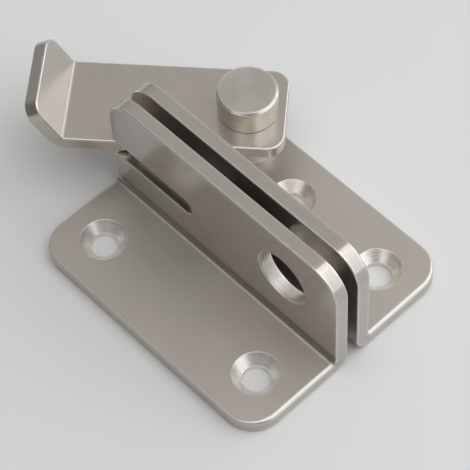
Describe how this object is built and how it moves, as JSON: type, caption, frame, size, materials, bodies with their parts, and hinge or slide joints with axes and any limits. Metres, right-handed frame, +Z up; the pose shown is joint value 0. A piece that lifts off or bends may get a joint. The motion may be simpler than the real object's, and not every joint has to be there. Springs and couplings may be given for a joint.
{
  "type": "surface padbolt with a swinging latch arm",
  "caption": "Surface padbolt: a knobbed pivot carries a swinging latch arm that hooks through slots in a pair of bent brackets, with a padlock hole through their leaves.",
  "frame": {"origin": "middle of the latch bracket's underside, on the mounting face", "axes": "+X along the brackets from the slotted end to the padlock hole, +Y from the keeper bracket to the latch bracket, +Z up from the mounting face"},
  "size_m": [0.0839, 0.0557, 0.029],
  "materials": {
    "bracket_steel": "satin stainless sheet with polished cut edges",
    "arm_steel": "satin stainless sheet brushed along the arm",
    "turned_steel": "stainless bar with fine turning marks"
  },
  "bodies": {
    "brackets": {"keeper_bracket": "bracket_steel", "latch_bracket": "bracket_steel", "pivot_pin": "turned_steel", "spacer_sleeve": "turned_steel"},
    "arm": {"latch_arm": "arm_steel"}
  },
  "joints": [
    {"name": "arm_swing", "type": "hinge", "parent": "brackets", "child": "arm", "pos_m": [-0.017, 0.00575, 0.01355], "axis": [0, 0, 1], "range_deg": [-228, 45]}
  ]
}
